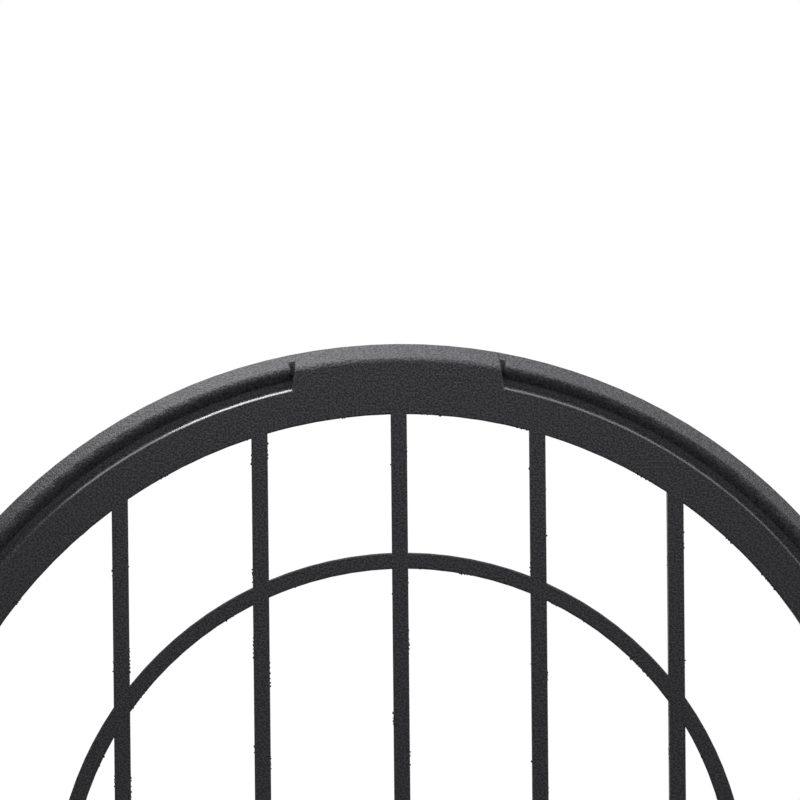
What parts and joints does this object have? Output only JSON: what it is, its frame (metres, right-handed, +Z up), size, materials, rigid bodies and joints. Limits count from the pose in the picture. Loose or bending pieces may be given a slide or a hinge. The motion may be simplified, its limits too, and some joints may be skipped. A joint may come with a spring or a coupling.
{
  "type": "headlight guard",
  "caption": "Round one-piece headlight guard: flat ring with upright bars and a hoop, rounded rim behind a groove, plain top pad and a rear skirt that slips over the lamp's rim.",
  "frame": {"origin": "on the axis of the lamp, in the flat face inside the skirt that seats on the lamp's rim", "axes": "the front with its bars looks along -Y, the lamp lies towards +Y, +Z is up towards the pad, and +X is to the right seen from the front"},
  "size_m": [0.2036, 0.016, 0.2036],
  "materials": {
    "powder_coat": "fine-textured satin black powder coat"
  },
  "bodies": {
    "root": {"headlight_guard": "powder_coat"}
  },
  "joints": []
}
